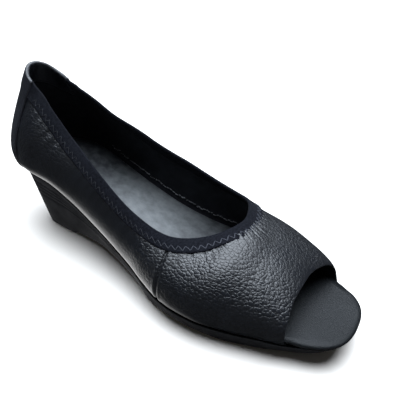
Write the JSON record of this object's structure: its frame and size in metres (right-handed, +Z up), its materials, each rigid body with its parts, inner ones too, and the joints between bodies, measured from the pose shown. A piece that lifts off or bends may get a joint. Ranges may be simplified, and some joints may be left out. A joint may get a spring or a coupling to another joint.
{
  "type": "wedge shoe",
  "caption": "Right open-toe wedge pump: hollow leather upper with an elastic collar band and back stay, on a footbed and a moulded wedge sole.",
  "frame": {"origin": "centre of the bounding box's bottom face, on the floor plane the shoe stands on", "axes": "+X from the heel to the toe, +Y towards the inner side of the foot, +Z up"},
  "size_m": [0.247, 0.0918, 0.1007],
  "materials": {
    "sole": "matte moulded",
    "insole": "smooth satin sock",
    "upper": "pebbled grain, semi-gloss",
    "topline_band": "knitted elastic, matte",
    "back_stay": "smooth semi-gloss"
  },
  "bodies": {
    "root": {"sole": "sole", "insole": "insole", "upper": "upper", "topline_band": "topline_band", "back_stay": "back_stay"}
  },
  "joints": []
}
